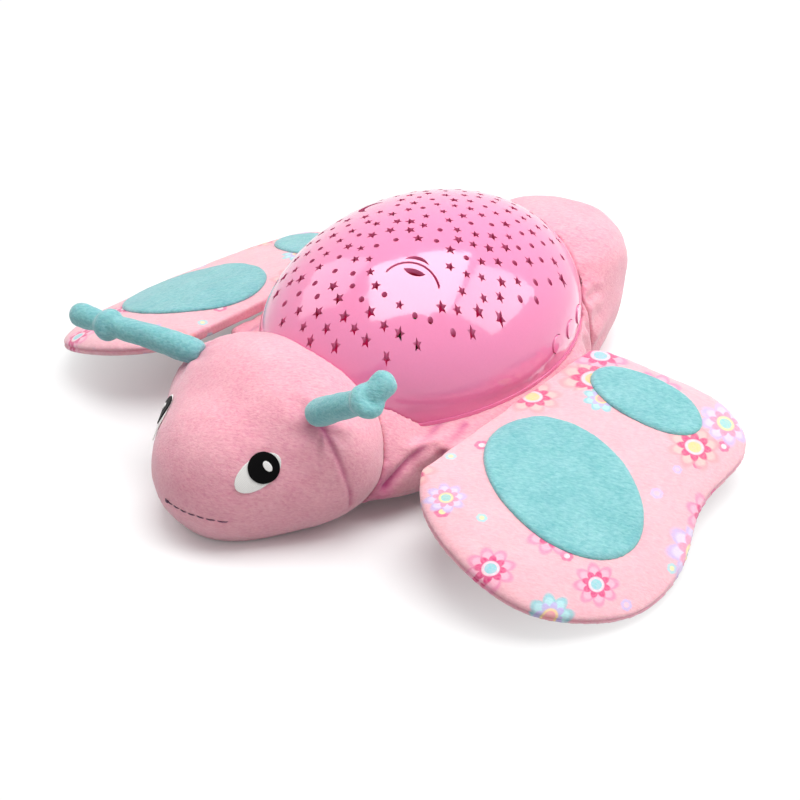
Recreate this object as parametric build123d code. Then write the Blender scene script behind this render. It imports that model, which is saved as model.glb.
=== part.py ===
from build123d import *
import math
import os
import random

os.makedirs("parts", exist_ok=True)

# Millimetres. +Z is up, the floor is z = 0, the head points to -Y and the tail to +Y.
# The origin is on the floor, under the centre of the dome.

# ---- driving dimensions -------------------------------------------------------
# light shell
dome_half_width = 60.7
dome_half_length = 80.0
dome_height = 53.0            # vertical semi-axis of the dome's ellipsoid
dome_centre_z = 39.6          # height of the widest line
dome_section_count = 9
dome_end_flat = 0.4
rim_z = 31.8                  # underside of the dome, where it sits on the tub
shell_wall = 2.0
lip_overhang = 0.9            # lip stands this far outside the tub's flange line
lip_height = 1.8

# holes that throw the light
hole_count = 236
hole_field = 0.90             # share of the dome's plan that holds the scatter
hole_jitter = 0.9
star_sizes = (1.9, 2.1, 2.3, 2.5)
star_waist = 0.47             # inner radius of a star over its outer radius
dot_radius = 1.15
star_share = 0.66
planet_place = (21.0, -27.5)
planet_radius = 6.2
planet_ring_radius = 13.0
planet_ring_slot = 1.0
moon_place = (-28.0, -2.5)
moon_radius = 5.6
moon_bite = 3.2

# tub
tub_base_half_width = 42.0
tub_base_half_length = 64.0
tub_top_half_width = 58.2
tub_top_half_length = 77.5
tub_wall = 2.0
tub_flange = 1.6
tub_flange_height = 2.0
spigot_depth = 3.0
spigot_wall = 1.2
spigot_clearance = 0.2
ledge_height = 1.2

# screws that hold the dome on the tub
boss_angles = (50.0, 130.0, 230.0, 310.0)
boss_radius = 4.2
boss_inset = 5.5
dome_boss_height = 9.0
well_radius = 3.2
well_top_z = 18.0
screw_shank = 1.2
screw_hole = 1.3
screw_head = 2.5
screw_head_height = 1.8
small_screw_shank = 0.9
small_screw_head = 1.8
small_screw_head_height = 1.3

# battery bay, three AAA cells side by side
cell_diameter = 10.5
cell_length = 44.5
cell_pitch = 11.1
cell_clearance = 0.4
contact_length = 2.8
bay_wall = 1.8
bay_front_y = 4.0
door_thickness = 1.8
door_recess = 0.2
door_gap = 0.3
door_ledge = 1.0
door_pin_radius = 0.6
door_pin_length = 1.4
door_pin_clearance = 0.05
door_tongue_radius = 3.5
door_screw_shank = 1.1
door_screw_grip = 3.2         # length of the screw inside its boss
door_screw_seat = 0.9

# speaker
speaker_radius = 18.0
speaker_y = -29.0
speaker_height = 9.5
speaker_rim_height = 1.2
grille_hole = 1.1
grille_pitch = 5.2

# light deck, boards and lamps
deck_z = 24.0
deck_thickness = 1.6
deck_clearance = 1.2
post_radius = 3.0
board_thickness = 1.6
main_board_size = (48.0, 44.0)
main_board_gap = 2.4
lamp_board_radius = 11.0
lamp_post_height = 6.0
lamp_radius = 2.5
lamp_height = 7.5
lamp_ring = 5.2
dish_radius = 25.0
dish_height = 5.0

# push buttons in the side of the dome
button_radius = 4.0
button_gap = 0.3
button_proud = 0.6
button_z = 44.0
button_angles = (15.0, 25.0, 35.0)   # ellipse angle from +X towards the tail
button_travel = 0.8
button_flange = 1.1
button_flange_depth = 1.2
switch_size = 6.0
switch_depth = 3.5
plunger_radius = 1.7
plunger_gap = 0.06
plunger_length = 2.6

# plush body round the tub
body_half_width = 66.5
body_half_length = 98.0
body_centre_y = -10.0
body_widest_z = 14.0
body_upper_height = 60.0
body_lower_height = 20.0
body_top_gap = 0.4            # below the dome's lip
soft_gap = 0.3
neck_half = (56.0, 38.0, 40.0)
neck_centre = (0.0, -62.0, 14.0)
tail_half = (45.6, 69.9, 37.5)
tail_centre = (0.0, 56.2, 17.1)
tail_tilt = 22.0
tail_seam_y = 63.0
elastic_width = 1.3
elastic_height = 2.2

# head: y, half width, centre height, half height of each section
head_sections = (
    (-145.0, 4.0, 23.5, 4.0),
    (-143.0, 12.0, 23.5, 11.5),
    (-139.0, 19.5, 23.5, 18.5),
    (-131.0, 27.5, 23.5, 26.0),
    (-120.0, 35.5, 24.0, 30.5),
    (-108.0, 44.4, 26.5, 34.0),
    (-98.0, 50.6, 28.3, 35.8),
    (-89.0, 52.5, 29.0, 36.3),
    (-79.0, 50.5, 29.0, 35.0),
    (-70.0, 44.6, 29.0, 31.0),
    (-62.0, 34.6, 29.0, 24.0),
    (-57.0, 23.0, 29.0, 16.0),
    (-54.0, 9.0, 29.0, 6.5),
)

# wings
wing_root_x = 61.0            # where the top arc starts
wing_tip_x = 168.0
wing_top_root_z = 37.4
wing_top_mid_z = 27.6
wing_top_tip_z = 4.4
wing_bottom_root_z = 31.8
wing_bottom_mid_z = 19.8
wing_bottom_tip_z = -0.6
wing_seam_front = (70.0, -76.0)
wing_seam_rear = (64.0, 36.0)
wing_outline = (
    (77.0, -85.5),
    (94.0, -96.5),
    (117.0, -100.5),
    (138.0, -96.0),
    (154.0, -80.0),
    (163.5, -58.0),
    (163.5, -36.0),
    (157.0, -15.0),
    (148.0, 4.0),
    (144.5, 22.0),
    (143.0, 36.0),
    (136.5, 51.0),
    (119.0, 57.0),
    (94.0, 50.0),
    (74.0, 43.5),
)
seat_front_y = -50.0           # the wing is sewn to the body from here to its rear corner
seat_top_z = 30.0
seat_height = 6.0
patch_thickness = 1.2
patch_lift = 0.06
large_patch_place = (111.0, -38.5)
large_patch_half = (37.0, 29.5)
large_patch_turn = -18.0
small_patch_place = (101.0, 27.5)
small_patch_half = (24.8, 15.2)
small_patch_turn = 14.0

# feelers: hinge point above the head, knot and tip
feeler_base_radius = 5.6
feeler_tube_radius = 5.0
feeler_knot_radius = 7.4
feeler_tip_radius = 5.4
left_feeler = ((38.6, -98.8, 59.4), (63.5, -95.7, 74.2), (62.5, -86.5, 81.5))
right_feeler = ((-38.6, -98.8, 59.4), (-74.0, -112.0, 55.5), (-90.0, -112.5, 56.5))

# stitched eyes
eye_place = (28.5, -124.6, 38.3)
eye_facing = (0.74, -0.55, 0.38)
eye_half = (10.6, 5.9)
eye_turn = 33.0
pupil_radius = 6.3
pupil_shift = (3.1, 0.3)
glint_half = (1.5, 2.4)
glint_shift = (4.7, 0.0)
stitch_height = 0.5
stitch_lift = 0.06

# ---- small helpers ------------------------------------------------------------


reach = 400.0                  # larger than the whole part


def save(shape, node):
    solids = shape if isinstance(shape, list) else [shape]
    parts = [solid for item in solids for solid in item.solids()]
    whole = parts[0] if len(parts) == 1 else Compound(children=parts)
    export_step(whole, f"parts/{node}.step")


def box(x0, x1, y0, y1, z0, z1):
    block = Box(x1 - x0, y1 - y0, z1 - z0, align=(Align.MIN, Align.MIN, Align.MIN))
    return Pos(x0, y0, z0) * block


def rod(x, y, z0, z1, radius):
    return Pos(x, y, z0) * Cylinder(radius, z1 - z0, align=(Align.CENTER, Align.CENTER, Align.MIN))


def oval(half_x, half_y, z0, z1):
    return extrude(Pos(0, 0, z0) * Ellipse(half_x, half_y), amount=z1 - z0)


def ellipsoid(half_x, half_y, half_z):
    arc = ThreePointArc((0, 0, -1), (0, -1, 0), (0, 0, 1))
    half_disc = make_face([arc, Line((0, 0, 1), (0, 0, -1))])
    ball = revolve(half_disc, axis=Axis.Z, revolution_arc=360)
    return scale(ball, by=(half_x, half_y, half_z))


def above(shape, z):
    return shape & box(-reach, reach, -reach, reach, z, z + reach)


def below(shape, z):
    return shape & box(-reach, reach, -reach, reach, z - reach, z)


def between_y(shape, y0, y1):
    return shape & box(-reach, reach, y0, y1, -reach, reach)


def both_sides(shape):
    return [shape, mirror(shape, about=Plane.YZ)]


def screw(x, y, z_head, length, shank, head, head_height, up=True):
    # pan head with a cross recess, shank pointing up or down from the head's seat
    way = 1 if up else -1
    seat = Plane(origin=(x, y, z_head), z_dir=(0, 0, way))
    align = (Align.CENTER, Align.CENTER, Align.MIN)
    body = seat * Cylinder(shank, length, align=align)
    cap = seat * Pos(0, 0, -head_height) * Cylinder(head, head_height, align=align)
    slots = seat * Pos(0, 0, -head_height) * Box(head * 1.2, 0.5, 0.8)
    slots += seat * Pos(0, 0, -head_height) * Box(0.5, head * 1.2, 0.8)
    return body + cap - slots


# ---- dome ---------------------------------------------------------------------


def dome_form(grow=0.0):
    # an ellipsoid through cross sections; its small flat ends lie low, clear of the holes
    half_y = dome_half_length + grow
    start = math.acos(1 - dome_end_flat / half_y)
    sections = []
    for k in range(dome_section_count):
        t = start + (math.pi - 2 * start) * k / (dome_section_count - 1)
        plane = Plane(origin=(0, -half_y * math.cos(t), dome_centre_z), x_dir=(1, 0, 0), z_dir=(0, -1, 0))
        share = math.sin(t)
        sections.append(plane * Ellipse((dome_half_width + grow) * share, (dome_height + grow) * share))
    return loft(sections)


def rim_half(grow=0.0):
    # the dome's plan half sizes at the height of its rim
    drop = (rim_z - dome_centre_z) / dome_height
    share = math.sqrt(1 - drop**2)
    return dome_half_width * share + grow, dome_half_length * share + grow


def star_face(outer, turn):
    points = []
    for k in range(10):
        radius = outer if k % 2 == 0 else outer * star_waist
        angle = math.radians(turn + 36 * k)
        points.append((radius * math.cos(angle), radius * math.sin(angle)))
    return make_face(Polyline(*points, close=True))


def planet_faces():
    # a ringed planet seen from the side: cap, ring line and lower lens
    turn = math.degrees(math.atan2(10.5, 19.0))
    disc = Circle(planet_radius)
    ring_centre = Pos(0, -planet_ring_radius * 0.76, 0)
    outer = ring_centre * Circle(planet_ring_radius)
    inner = ring_centre * Circle(planet_ring_radius - planet_ring_slot)
    window = Pos(0, planet_ring_radius * 0.1) * Rectangle(planet_ring_radius * 1.72, planet_ring_radius * 0.9)
    ring = (outer - inner) & window
    bridge = 1.3
    cap = disc - ring_centre * Circle(planet_ring_radius + bridge)
    lens_top = ring_centre * Circle(planet_ring_radius - planet_ring_slot - bridge)
    lens = disc & Pos(0, planet_radius * 0.62) * Circle(planet_radius) & lens_top
    lens = Pos(0, -planet_radius * 0.15) * lens
    shapes = [cap, ring, lens]
    return [Rot(0, 0, turn) * face for shape in shapes for face in shape.faces()]


def moon_face():
    return Circle(moon_radius) - Pos(moon_bite, 0) * Circle(moon_radius * 0.92)


def hole_tools():
    dice = random.Random(7)
    tools = []
    golden = math.pi * (3 - math.sqrt(5))
    start_z = rim_z + dome_boss_height + 2.0
    depth = dome_centre_z + dome_height + 2.0 - start_z
    keep_out = (
        (planet_place, planet_ring_radius + 1.0),
        (moon_place, moon_radius + 2.8),
    )
    for k in range(hole_count):
        spread = math.sqrt((k + 0.5) / hole_count) * hole_field
        angle = golden * k
        x = spread * dome_half_width * math.cos(angle) + dice.uniform(-hole_jitter, hole_jitter)
        y = spread * dome_half_length * math.sin(angle) + dice.uniform(-hole_jitter, hole_jitter)
        is_star = dice.random() < star_share
        size = dice.choice(star_sizes)
        turn = dice.uniform(0, 72)
        if any(math.hypot(x - place[0], y - place[1]) < away for place, away in keep_out):
            continue
        if math.hypot(x / dome_half_width, y / dome_half_length) > hole_field + 0.005:
            continue
        face = star_face(size, turn) if is_star else Circle(dot_radius)
        tools.append(extrude(Pos(x, y, start_z) * face, amount=depth))
    for face in planet_faces():
        tools.append(extrude(Pos(planet_place[0], planet_place[1], start_z) * face, amount=depth))
    tools.append(extrude(Pos(moon_place[0], moon_place[1], start_z) * moon_face(), amount=depth))
    return tools


def boss_places():
    half_x, half_y = rim_half(-shell_wall - boss_inset)
    return [
        (half_x * math.cos(math.radians(t)), half_y * math.sin(math.radians(t)))
        for t in boss_angles
    ]


def button_plane(k, depth=0.0):
    # z runs outwards, along the way the button is pushed back by its spring
    height = (button_z - dome_centre_z) / dome_height
    share = math.sqrt(1 - height**2)
    spots = [
        (
            dome_half_width * share * math.cos(math.radians(t)),
            dome_half_length * share * math.sin(math.radians(t)),
        )
        for t in button_angles
    ]
    run_x = spots[-1][0] - spots[0][0]
    run_y = spots[-1][1] - spots[0][1]
    run = math.hypot(run_x, run_y)
    out = (run_y / run, -run_x / run)
    # all three share one line, the chord between the outer two
    shift = (spots[k][0] - spots[0][0]) * out[0] + (spots[k][1] - spots[0][1]) * out[1]
    x = spots[k][0] - out[0] * (shift + depth)
    y = spots[k][1] - out[1] * (shift + depth)
    return Plane(origin=(x, y, button_z), x_dir=(0, 0, 1), z_dir=(out[0], out[1], 0))


def centred(radius, length, start):
    align = (Align.CENTER, Align.CENTER, Align.MIN)
    return Pos(0, 0, start) * Cylinder(radius, length, align=align)


lip_half = rim_half(lip_overhang)
flange_half = (tub_top_half_width + tub_flange, tub_top_half_length + tub_flange)
spigot_half = (
    tub_top_half_width - tub_wall - spigot_clearance,
    tub_top_half_length - tub_wall - spigot_clearance,
)
inner_form = dome_form(-shell_wall)
button_reach = 12.0

skin = above(dome_form(), rim_z) + oval(*lip_half, rim_z, rim_z + lip_height)
skin -= above(inner_form, rim_z - 1.0)
spigot_bore = (spigot_half[0] - spigot_wall, spigot_half[1] - spigot_wall)
rim_ring = oval(*rim_half(-shell_wall / 2), rim_z, rim_z + ledge_height)
rim_ring += oval(*spigot_half, rim_z - spigot_depth, rim_z + 0.1)
rim_ring -= oval(*spigot_bore, rim_z - spigot_depth - 1, rim_z + ledge_height + 1)
for x, y in boss_places():
    rim_ring -= rod(x, y, rim_z - spigot_depth - 1, rim_z, boss_radius + 0.3)
    rim_ring += rod(x, y, rim_z, rim_z + dome_boss_height, boss_radius) & dome_form(-shell_wall / 2)
    rim_ring -= rod(x, y, rim_z - 1, rim_z + dome_boss_height - 2.0, screw_hole)
openings = hole_tools() + [
    button_plane(k) * centred(button_radius + button_gap, 2 * button_reach, -button_reach)
    for k in range(len(button_angles))
]
dome = (skin + rim_ring).cut(*openings)
save(dome, "star_dome")

# ---- tub ----------------------------------------------------------------------
tub_stations = (
    (0.0, 0.0),
    (0.16, 0.42),
    (0.45, 0.80),
    (1.0, 1.0),
)


def tub_half(height_share, width_share, grow):
    half_x = tub_base_half_width + (tub_top_half_width - tub_base_half_width) * width_share
    half_y = tub_base_half_length + (tub_top_half_length - tub_base_half_length) * width_share
    return half_x + grow, half_y + grow


def tub_form(grow=0.0):
    # the wall widens from the flat base to the rim
    return loft(
        [
            Pos(0, 0, rim_z * height_share) * Ellipse(*tub_half(height_share, width_share, grow))
            for height_share, width_share in tub_stations
        ]
    )


bay_half_width = (3 * cell_pitch + cell_clearance) / 2
bay_rear_y = bay_front_y + cell_length + 2 * contact_length
door_top_z = door_recess + door_thickness
floor_top_z = door_top_z + 0.2
bay_top_z = door_top_z + cell_diameter + 2 * cell_clearance
bay_roof_z = bay_top_z + bay_wall
door_half_width = bay_half_width + door_ledge
door_front_y = bay_front_y - door_ledge
door_rear_y = bay_rear_y + door_ledge
door_screw_y = door_rear_y + door_tongue_radius
door_hinge_y = door_front_y + door_thickness / 2
door_hinge_z = door_recess + door_thickness / 2
door_boss_top_z = door_top_z + door_screw_grip + 2.0


def door_face(grow=0.0):
    width = 2 * (door_half_width + grow)
    length = door_rear_y - door_front_y + 2 * grow
    tongue = 2 * (door_tongue_radius + grow)
    plate = Pos(0, (door_front_y + door_rear_y) / 2) * Rectangle(width, length)
    neck = Pos(0, (door_rear_y + door_screw_y) / 2) * Rectangle(tongue, door_screw_y - door_rear_y)
    return plate + neck + Pos(0, door_screw_y) * Circle(door_tongue_radius + grow)


def along_x(x0, x1, y, z, radius):
    axis = Plane(origin=(x0, y, z), z_dir=(1, 0, 0))
    return axis * Cylinder(radius, x1 - x0, align=(Align.CENTER, Align.CENTER, Align.MIN))


def grille_places():
    places = []
    reach = speaker_radius - 4.0
    steps = int(reach // grille_pitch) + 1
    for row in range(-steps, steps + 1):
        for column in range(-steps, steps + 1):
            x = (column + 0.5 * (row % 2)) * grille_pitch
            y = row * grille_pitch * math.sqrt(3) / 2
            if math.hypot(x, y) < reach:
                places.append((x, speaker_y + y))
    return places


deck_posts = [(sx * 34.0, y) for sx in (-1, 1) for y in (-34.0, 34.0)]
board_posts = [(sx * 15.5, y) for sx in (-1, 1) for y in (bay_front_y + 6.0, bay_rear_y - 8.0)]
speaker_boss_ring = speaker_radius + 2.8
speaker_bosses = [
    (speaker_boss_ring * math.cos(math.radians(t)), speaker_y + speaker_boss_ring * math.sin(math.radians(t)))
    for t in (150.0, 30.0, 270.0)
]
main_board_z = bay_roof_z + main_board_gap
speaker_rim_z = floor_top_z + 0.1
speaker_clamp_z = speaker_rim_z + speaker_rim_height + 0.05

tub_outside = tub_form()
tub_inside = above(tub_form(-tub_wall), floor_top_z)
tub = tub_outside + oval(*flange_half, rim_z - tub_flange_height, rim_z)
tub -= tub_inside
tub -= oval(tub_top_half_width - tub_wall, tub_top_half_length - tub_wall, rim_z - 0.2, rim_z + 1.0)

columns = [rod(x, y, floor_top_z - 0.5, rim_z, boss_radius) for x, y in boss_places()]
bay = box(
    -bay_half_width - bay_wall,
    bay_half_width + bay_wall,
    bay_front_y - bay_wall,
    bay_rear_y + bay_wall,
    door_recess,
    bay_roof_z,
)
tongue_seat = rod(0, door_screw_y, door_recess, floor_top_z + 1.6, door_tongue_radius + 1.5)
door_boss = rod(0, door_screw_y, door_recess, door_boss_top_z, 3.2)
tub += [column & tub_outside for column in columns]
tub += [bay & tub_outside, tongue_seat & tub_outside, door_boss & tub_outside]
tub += [rod(x, y, floor_top_z - 0.5, deck_z, post_radius) for x, y in deck_posts]
tub += [rod(x, y, bay_roof_z - 0.5, main_board_z, 2.2) for x, y in board_posts]
tub += [rod(x, y, floor_top_z - 0.5, speaker_clamp_z, 2.0) for x, y in speaker_bosses]
speaker_ring = rod(0, speaker_y, floor_top_z - 0.5, speaker_clamp_z, speaker_radius + 1.7)
speaker_ring -= rod(0, speaker_y, floor_top_z - 0.5, speaker_clamp_z, speaker_radius + 0.3)
tub += speaker_ring

tub -= [rod(x, y, -1.0, well_top_z, well_radius) for x, y in boss_places()]
tub -= [rod(x, y, 0.0, rim_z + 1.0, screw_hole) for x, y in boss_places()]
tub -= [rod(x, y, deck_z - 7.0, deck_z + 1.0, small_screw_shank) for x, y in deck_posts]
tub -= [rod(x, y, bay_roof_z - 1.0, main_board_z + 1.0, small_screw_shank) for x, y in board_posts]
tub -= [rod(x, y, floor_top_z - 1.2, speaker_clamp_z + 1.0, small_screw_shank) for x, y in speaker_bosses]
tub -= box(-bay_half_width, bay_half_width, bay_front_y, bay_rear_y, -1.0, bay_top_z)
tub -= extrude(Pos(0, 0, -1.0) * door_face(door_gap), amount=door_top_z + 1.05)
tub -= rod(0, door_screw_y, 0.0, door_boss_top_z - 1.0, screw_hole)
tub -= along_x(
    -door_half_width - door_pin_length - door_gap,
    door_half_width + door_pin_length + door_gap,
    door_hinge_y,
    door_hinge_z,
    door_pin_radius + door_pin_clearance,
)
tub -= [rod(x, y, -1.0, floor_top_z + 1.0, grille_hole) for x, y in grille_places()]
save(tub, "base_tub")

# ---- battery bay --------------------------------------------------------------
door = extrude(Pos(0, 0, door_recess) * door_face(), amount=door_thickness)
door -= box(-60, 60, door_front_y - 1, door_hinge_y, door_recess - 1, door_top_z + 1)
door += along_x(-door_half_width, door_half_width, door_hinge_y, door_hinge_z, door_thickness / 2)
door += along_x(
    -door_half_width - door_pin_length,
    door_half_width + door_pin_length,
    door_hinge_y,
    door_hinge_z,
    door_pin_radius,
)
door -= rod(0, door_screw_y, -1.0, door_top_z + 1.0, door_screw_shank + 0.1)
door -= rod(0, door_screw_y, -1.0, door_recess + door_screw_seat, screw_head + 0.2)
grip_y = door_rear_y - 12.0
door -= [box(-6.0, 6.0, grip_y + 2.0 * k, grip_y + 2.0 * k + 0.9, -1.0, door_recess + 0.4) for k in range(4)]
save(door, "battery_door")
save(
    screw(
        0,
        door_screw_y,
        door_recess + door_screw_seat,
        door_thickness - door_screw_seat + door_screw_grip,
        door_screw_shank,
        screw_head,
        door_screw_seat,
    ),
    "battery_door_screw",
)

cell_z = door_top_z + cell_clearance + cell_diameter / 2
cells = []
leaves_front = []
leaves_rear = []
for k in (-1, 0, 1):
    nub = 0.8
    start_y = bay_front_y + contact_length
    plane = Plane(origin=(k * cell_pitch, start_y, cell_z), z_dir=(0, 1, 0))
    if k == 0:
        plane = Plane(origin=(0, start_y + cell_length, cell_z), z_dir=(0, -1, 0))
    can = plane * Cylinder(cell_diameter / 2, cell_length - nub, align=(Align.CENTER, Align.CENTER, Align.MIN))
    can += plane * Pos(0, 0, cell_length - nub) * Cylinder(1.9, nub, align=(Align.CENTER, Align.CENTER, Align.MIN))
    cells.append(can)
    for leaves, wall_y, way in ((leaves_front, bay_front_y, 1), (leaves_rear, bay_rear_y, -1)):
        # bent spring leaf: a foot on the wall and a hump that presses the cell's end
        tip = contact_length - 0.1
        profile = Polyline(
            (wall_y, cell_z - 4.6),
            (wall_y + way * 0.4, cell_z - 4.6),
            (wall_y + way * 0.4, cell_z - 3.6),
            (wall_y + way * tip, cell_z - 0.6),
            (wall_y + way * tip, cell_z + 0.6),
            (wall_y + way * 0.4, cell_z + 3.6),
            (wall_y + way * 0.4, cell_z + 4.6),
            (wall_y, cell_z + 4.6),
            (wall_y, cell_z + 3.4),
            (wall_y + way * (tip - 0.5), cell_z + 0.4),
            (wall_y + way * (tip - 0.5), cell_z - 0.4),
            (wall_y, cell_z - 3.4),
            close=True,
        )
        side = Plane(origin=(k * cell_pitch - 2.5, 0, 0), x_dir=(0, 1, 0), z_dir=(1, 0, 0))
        leaves.append(extrude(side * make_face(profile), amount=5.0))
save(cells, "aaa_cells")
save(leaves_front, "front_contacts")
save(leaves_rear, "rear_contacts")

# ---- speaker ------------------------------------------------------------------
magnet_radius = speaker_radius * 0.52
profile = Polyline(
    (0.0, speaker_height),
    (magnet_radius, speaker_height),
    (magnet_radius, speaker_height - 3.6),
    (speaker_radius - 2.5, speaker_rim_height),
    (speaker_radius, speaker_rim_height),
    (speaker_radius, 0.0),
    (speaker_radius - 2.4, 0.0),
    (magnet_radius - 1.5, speaker_height - 4.6),
    (0.0, speaker_height - 4.6),
    close=True,
)
upright = Plane(origin=(0, 0, 0), x_dir=(1, 0, 0), z_dir=(0, -1, 0))
speaker = revolve(upright * make_face(profile), axis=Axis.Z)
save(Pos(0, speaker_y, speaker_rim_z) * speaker, "speaker")
cone_profile = Polyline(
    (0.0, speaker_height - 4.8),
    (magnet_radius - 2.0, speaker_height - 4.8),
    (speaker_radius - 3.3, 0.3),
    (speaker_radius - 4.1, 0.3),
    (magnet_radius - 2.6, speaker_height - 5.6),
    (0.0, speaker_height - 5.6),
    close=True,
)
cone = revolve(upright * make_face(cone_profile), axis=Axis.Z)
save(Pos(0, speaker_y, speaker_rim_z) * cone, "speaker_cone")
save(
    [
        screw(x, y, speaker_clamp_z, 2.4, small_screw_shank - 0.1, 3.6, small_screw_head_height, up=False)
        for x, y in speaker_bosses
    ],
    "speaker_screws",
)

# ---- boards and lamps ---------------------------------------------------------
board_width, board_length = main_board_size
board_y = (board_posts[0][1] + board_posts[1][1]) / 2
board_top_z = main_board_z + board_thickness
board = box(
    -board_width / 2,
    board_width / 2,
    board_y - board_length / 2,
    board_y + board_length / 2,
    main_board_z,
    board_top_z,
)
board -= [rod(x, y, 0, 60, small_screw_shank + 0.1) for x, y in board_posts]
save(board, "main_board")
save(
    [
        screw(x, y, board_top_z, 4.0, small_screw_shank - 0.1, small_screw_head, small_screw_head_height, up=False)
        for x, y in board_posts
    ],
    "board_screws",
)
chip_blob = Pos(-6, board_y - 6, board_top_z) * scale(Sphere(5.0), by=(1, 1, 0.3))
chip_blob = above(chip_blob, board_top_z)
parts_on_board = [
    chip_blob,
    box(6, 12, board_y - 4, board_y, board_top_z, board_top_z + 1.6),
    rod(6.5, board_y + 9, board_top_z, board_top_z + 3.0, 2.5),
    rod(-8.0, board_y + 9, board_top_z, board_top_z + 3.0, 2.0),
    box(-3.0, 3.0, board_y + 13.5, board_y + 17.5, board_top_z, board_top_z + 2.8),
]
save(parts_on_board, "board_components")

deck_top_z = deck_z + deck_thickness
deck_half = (
    tub_top_half_width - tub_wall - 2 * deck_clearance,
    tub_top_half_length - tub_wall - 2 * deck_clearance,
)
deck = oval(*deck_half, deck_z, deck_top_z)
deck -= [rod(x, y, deck_z - 1, deck_top_z + 1, boss_radius + 0.3) for x, y in boss_places()]
deck -= [rod(x, y, deck_z - 1, deck_top_z + 1, small_screw_shank + 0.1) for x, y in deck_posts]
dish_profile = Polyline(
    (dish_radius * 0.56, 0.0),
    (dish_radius * 0.62, 0.0),
    (dish_radius, dish_height),
    (dish_radius - 1.2, dish_height),
    close=True,
)
deck += Pos(0, 0, deck_top_z - 0.2) * revolve(upright * make_face(dish_profile), axis=Axis.Z)
lamp_board_z = deck_top_z + lamp_post_height
lamp_posts = [
    (0.75 * lamp_board_radius * math.cos(math.radians(t)), 0.75 * lamp_board_radius * math.sin(math.radians(t)))
    for t in (0, 120, 240)
]
deck += [rod(x, y, deck_top_z - 0.2, lamp_board_z, 1.9) for x, y in lamp_posts]
deck -= [rod(x, y, lamp_board_z - 3.0, lamp_board_z + 1, small_screw_shank - 0.1) for x, y in lamp_posts]

button_board_front = -(
    shell_wall + 2.0 + button_flange_depth + 1.8 + switch_depth
)
cradle = 3.0
button_span = 38.0
switch_front = button_board_front + switch_depth
board_frame = button_plane(1, depth=0.0)
stand = Plane(
    origin=(board_frame.origin.X, board_frame.origin.Y, deck_top_z),
    x_dir=(-board_frame.z_dir.Y, board_frame.z_dir.X, 0),
    z_dir=(0, 0, 1),
)


def standing(along0, along1, out0, out1, z0, z1):
    # a block square to the buttons' line: along the row, outwards and up from the deck
    block = Box(along1 - along0, out1 - out0, z1 - z0, align=(Align.MIN, Align.MIN, Align.MIN))
    return stand * Pos(along0, -out1, z0) * block


for end in (-1, 1):
    centre = end * (button_span / 2 - cradle)
    grip = standing(
        centre - cradle,
        centre + cradle,
        button_board_front - board_thickness - 1.6,
        button_board_front + 1.6,
        -0.2,
        cradle,
    )
    slot = standing(
        centre - cradle - 1,
        centre + cradle + 1,
        button_board_front - board_thickness - 0.1,
        button_board_front + 0.1,
        0.0,
        cradle + 1,
    )
    deck += grip - slot
save(deck, "light_deck")
save(
    [
        screw(x, y, deck_top_z, 6.0, small_screw_shank - 0.1, small_screw_head, small_screw_head_height, up=False)
        for x, y in deck_posts
    ],
    "deck_screws",
)
lamp_board_top = lamp_board_z + board_thickness
lamp_board = rod(0, 0, lamp_board_z, lamp_board_top, lamp_board_radius)
lamp_board -= [rod(x, y, lamp_board_z - 1, lamp_board_top + 1, small_screw_shank + 0.1) for x, y in lamp_posts]
save(lamp_board, "lamp_board")
save(
    [
        screw(x, y, lamp_board_top, 3.6, small_screw_shank - 0.2, small_screw_head - 0.2, 1.0, up=False)
        for x, y in lamp_posts
    ],
    "lamp_screws",
)
for name, t in (("red_lamp", 60), ("green_lamp", 180), ("blue_lamp", 300)):
    x = lamp_ring * math.cos(math.radians(t))
    y = lamp_ring * math.sin(math.radians(t))
    lamp = rod(x, y, lamp_board_top, lamp_board_top + 1.0, lamp_radius + 0.45)
    lamp += rod(x, y, lamp_board_top, lamp_board_top + lamp_height - lamp_radius, lamp_radius)
    lamp += Pos(x, y, lamp_board_top + lamp_height - lamp_radius) * Sphere(lamp_radius)
    save(lamp, name)

# ---- push buttons -------------------------------------------------------------
board_top = button_z + switch_size / 2 + 2.5
save(
    standing(
        -button_span / 2,
        button_span / 2,
        button_board_front - board_thickness,
        button_board_front,
        0.1,
        board_top - deck_top_z,
    ),
    "button_board",
)
flange_front = -(shell_wall + 2.0)
flange_back = flange_front - button_flange_depth
switches = []
shell_skin = dome_form(button_proud)
for k, name in enumerate(("light", "melody", "volume")):
    frame = button_plane(k)
    cap = (frame * centred(button_radius, button_reach - flange_back, flange_back)) & shell_skin
    cap += frame * centred(button_radius + button_flange, button_flange_depth, flange_back)
    save(cap, f"{name}_button")
    plunger_back = switch_front - plunger_length
    save(
        frame * centred(plunger_radius, flange_back - plunger_back, plunger_back),
        f"{name}_plunger",
    )
    block = Box(switch_size, switch_size, switch_depth, align=(Align.CENTER, Align.CENTER, Align.MIN))
    switch = frame * Pos(0, 0, button_board_front) * block
    bore_depth = plunger_length + button_travel + 0.05
    switch -= frame * centred(plunger_radius + plunger_gap, bore_depth + 1, switch_front - bore_depth)
    switches.append(switch)
save(switches, "tact_switches")

# ---- plush body, neck and tail -------------------------------------------------


def head_form(grow=0.0):
    sections = []
    last = len(head_sections) - 1
    for k, (y, half_x, centre_z, half_z) in enumerate(head_sections):
        y += -grow if k == 0 else grow if k == last else 0.0
        plane = Plane(origin=(0, y, centre_z), x_dir=(1, 0, 0), z_dir=(0, -1, 0))
        sections.append(plane * Ellipse(half_x + grow, half_z + grow))
    return loft(sections)


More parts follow.
